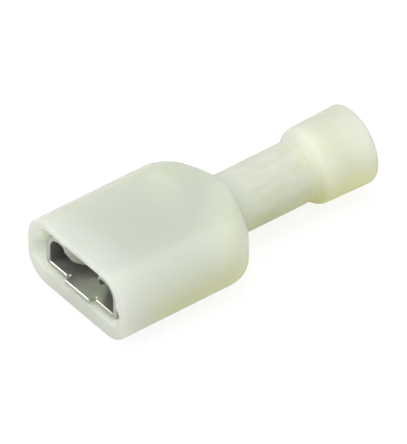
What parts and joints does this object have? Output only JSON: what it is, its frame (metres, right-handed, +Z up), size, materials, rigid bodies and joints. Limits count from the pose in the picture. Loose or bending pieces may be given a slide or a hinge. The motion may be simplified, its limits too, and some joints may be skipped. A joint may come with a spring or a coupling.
{
  "type": "female spade terminal",
  "caption": "Fully insulated female spade terminal: translucent nylon housing with a wire funnel over a rolled, tinned brass receptacle and crimp barrel",
  "frame": {"origin": "under the middle of the part, on the surface that it rests on", "axes": "+X from the mouth, where the tab enters, to the wire end; +Y across the width; +Z up, away from the flat base of the receptacle"},
  "size_m": [0.0244, 0.0112, 0.006],
  "materials": {
    "natural_nylon": "natural translucent nylon, satin as moulded",
    "tinned_brass": "bright tin plate over brass strip, lightly rolled"
  },
  "bodies": {
    "root": {"insulator_housing": "natural_nylon", "receptacle_terminal": "tinned_brass"}
  },
  "joints": []
}
